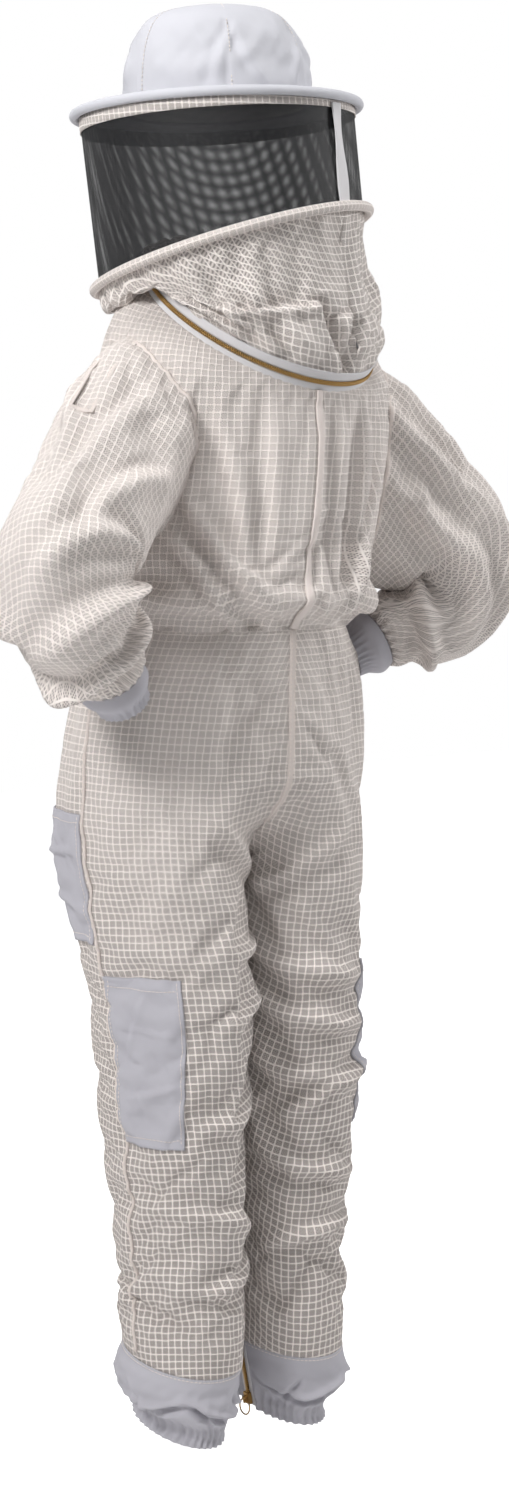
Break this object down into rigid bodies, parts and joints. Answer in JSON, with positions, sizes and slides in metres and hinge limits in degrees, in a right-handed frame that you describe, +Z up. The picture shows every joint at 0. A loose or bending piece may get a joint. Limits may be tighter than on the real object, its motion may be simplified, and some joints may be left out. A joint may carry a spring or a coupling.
{
  "type": "beekeeping suit",
  "caption": "Full-length ventilated mesh suit with a zip-on round veil hood, standing in its worn shape with the hands on the hips.",
  "frame": {"origin": "on the body's upright axis, at the height of the neck opening, where the suit hangs from the wearer's shoulders", "axes": "+Z up, +X towards the wearer's left, the wearer faces -Y"},
  "size_m": [0.7493, 0.3735, 1.6794],
  "materials": {
    "ventilated_mesh": "three-layer open mesh, off-white",
    "white_cotton": "plain woven cotton",
    "tape": "woven tape",
    "elastic": "knitted elastic",
    "veil_net": "black open net",
    "brass_zip": "satin brass teeth on tape",
    "steel_wire": "drawn wire"
  },
  "bodies": {
    "suit": {"hood_zip_lower": "brass_zip", "back_bodice_left": "ventilated_mesh", "back_trouser_left": "ventilated_mesh", "front_bodice_left": "ventilated_mesh", "front_trouser_left": "ventilated_mesh", "hip_pocket_left": "white_cotton", "thigh_pocket_left": "white_cotton", "left_gaiter": "white_cotton", "left_ankle_elastic": "elastic", "left_ankle_zip": "brass_zip", "back_bodice_right": "ventilated_mesh", "back_trouser_right": "ventilated_mesh", "front_bodice_right": "ventilated_mesh", "front_trouser_right": "ventilated_mesh", "hip_pocket_right": "white_cotton", "thigh_pocket_right": "white_cotton", "right_gaiter": "white_cotton", "right_ankle_elastic": "elastic", "right_ankle_zip": "brass_zip", "left_sleeve": "ventilated_mesh", "left_cuff": "white_cotton", "left_wrist_elastic": "elastic", "right_sleeve": "ventilated_mesh", "right_cuff": "white_cotton", "right_wrist_elastic": "elastic", "back_seam_binding": "tape", "seat_seam_binding": "tape", "waist_elastic": "elastic", "front_zip_right": "brass_zip", "front_zip_left": "brass_zip"},
    "hood": {"hood_zip_upper": "brass_zip", "hood_skirt_left": "ventilated_mesh", "hood_skirt_right": "ventilated_mesh", "lower_hoop_piping": "ventilated_mesh", "lower_hoop_wire": "steel_wire", "veil_mesh": "veil_net", "veil_seam_tape": "tape", "veil_top_band": "white_cotton", "brim": "white_cotton", "brim_edge_piping": "white_cotton", "brim_wire": "steel_wire", "sweatband": "elastic", "crown_gore_1": "white_cotton", "crown_gore_2": "white_cotton", "crown_gore_3": "white_cotton", "crown_gore_4": "white_cotton", "crown_gore_5": "white_cotton", "crown_gore_6": "white_cotton"},
    "hood_slider_left": {"hood_slider_left": "brass_zip", "hood_slider_left_ring": "brass_zip"},
    "hood_slider_right": {"hood_slider_right": "brass_zip", "hood_slider_right_ring": "brass_zip"},
    "front_zip_slider": {"front_zip_slider": "brass_zip"},
    "front_zip_ring": {"front_zip_ring": "brass_zip"},
    "left_ankle_slider": {"left_ankle_slider": "brass_zip"},
    "left_ankle_ring": {"left_ankle_ring": "brass_zip"},
    "right_ankle_slider": {"right_ankle_slider": "brass_zip"},
    "right_ankle_ring": {"right_ankle_ring": "brass_zip"}
  },
  "joints": [
    {"name": "hood_tip", "type": "hinge", "parent": "suit", "child": "hood", "pos_m": [-0.06313, 0.17164, -0.07998], "axis": [-0.9781, -0.2079, 0], "range_deg": [0, 60]},
    {"name": "hood_slider_left_travel", "type": "hinge", "parent": "suit", "child": "hood_slider_left", "pos_m": [-0.036, 0.044, 0], "axis": [-0.1132, 0.5327, 0.8387], "range_deg": [0, 140]},
    {"name": "hood_slider_right_travel", "type": "hinge", "parent": "suit", "child": "hood_slider_right", "pos_m": [-0.036, 0.044, 0], "axis": [0.1132, -0.5327, -0.8387], "range_deg": [0, 140]},
    {"name": "front_zip_travel", "type": "slide", "parent": "suit", "child": "front_zip_slider", "axis": [0.0634, -0.1373, -0.9885], "range_m": [0, 0.58]},
    {"name": "front_zip_ring_swing", "type": "hinge", "parent": "front_zip_slider", "child": "front_zip_ring", "pos_m": [-0.03895, -0.08806, 0.04905], "axis": [-0.9979, 0, -0.064], "range_deg": [0, 150]},
    {"name": "left_ankle_slider_travel", "type": "slide", "parent": "suit", "child": "left_ankle_slider", "axis": [-0.2567, 0.0856, 0.9627], "range_m": [0, 0.035]},
    {"name": "left_ankle_ring_swing", "type": "hinge", "parent": "left_ankle_slider", "child": "left_ankle_ring", "pos_m": [0.02372, 0.03091, -1.29806], "axis": [0, 0.9961, -0.0885], "range_deg": [-10, 25]},
    {"name": "right_ankle_slider_travel", "type": "slide", "parent": "suit", "child": "right_ankle_slider", "axis": [0.2567, 0.0856, 0.9627], "range_m": [0, 0.035]},
    {"name": "right_ankle_ring_swing", "type": "hinge", "parent": "right_ankle_slider", "child": "right_ankle_ring", "pos_m": [-0.02372, 0.03091, -1.29806], "axis": [0, -0.9961, 0.0885], "range_deg": [-10, 25]}
  ]
}
